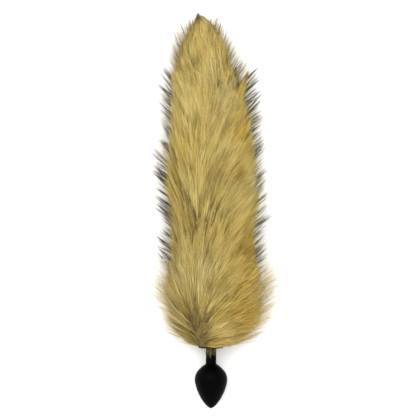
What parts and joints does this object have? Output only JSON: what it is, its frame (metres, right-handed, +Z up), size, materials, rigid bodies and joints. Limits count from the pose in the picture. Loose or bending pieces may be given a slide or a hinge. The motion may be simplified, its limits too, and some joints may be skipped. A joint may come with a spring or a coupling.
{
  "type": "fox tail plug",
  "caption": "Long faux fur fox tail on a tapered silicone plug with a slim neck and a round base, lying on a flat surface.",
  "frame": {"origin": "on the surface that the tail lies on, under the middle of the overall length", "axes": "+Y from the plug's nose to the tip of the tail, +X across the tail, +Z up"},
  "size_m": [0.1369, 0.4572, 0.0653],
  "materials": {
    "silicone": "smooth black silicone with a soft satin shine",
    "post_plastic": "plain moulded plastic, hidden in the fur",
    "faux_fur": "long golden faux fur with dark guard hairs along its edges and a pale cream fringe"
  },
  "bodies": {
    "root": {"plug": "silicone", "tail_post": "post_plastic", "fur_tail": "faux_fur"}
  },
  "joints": []
}
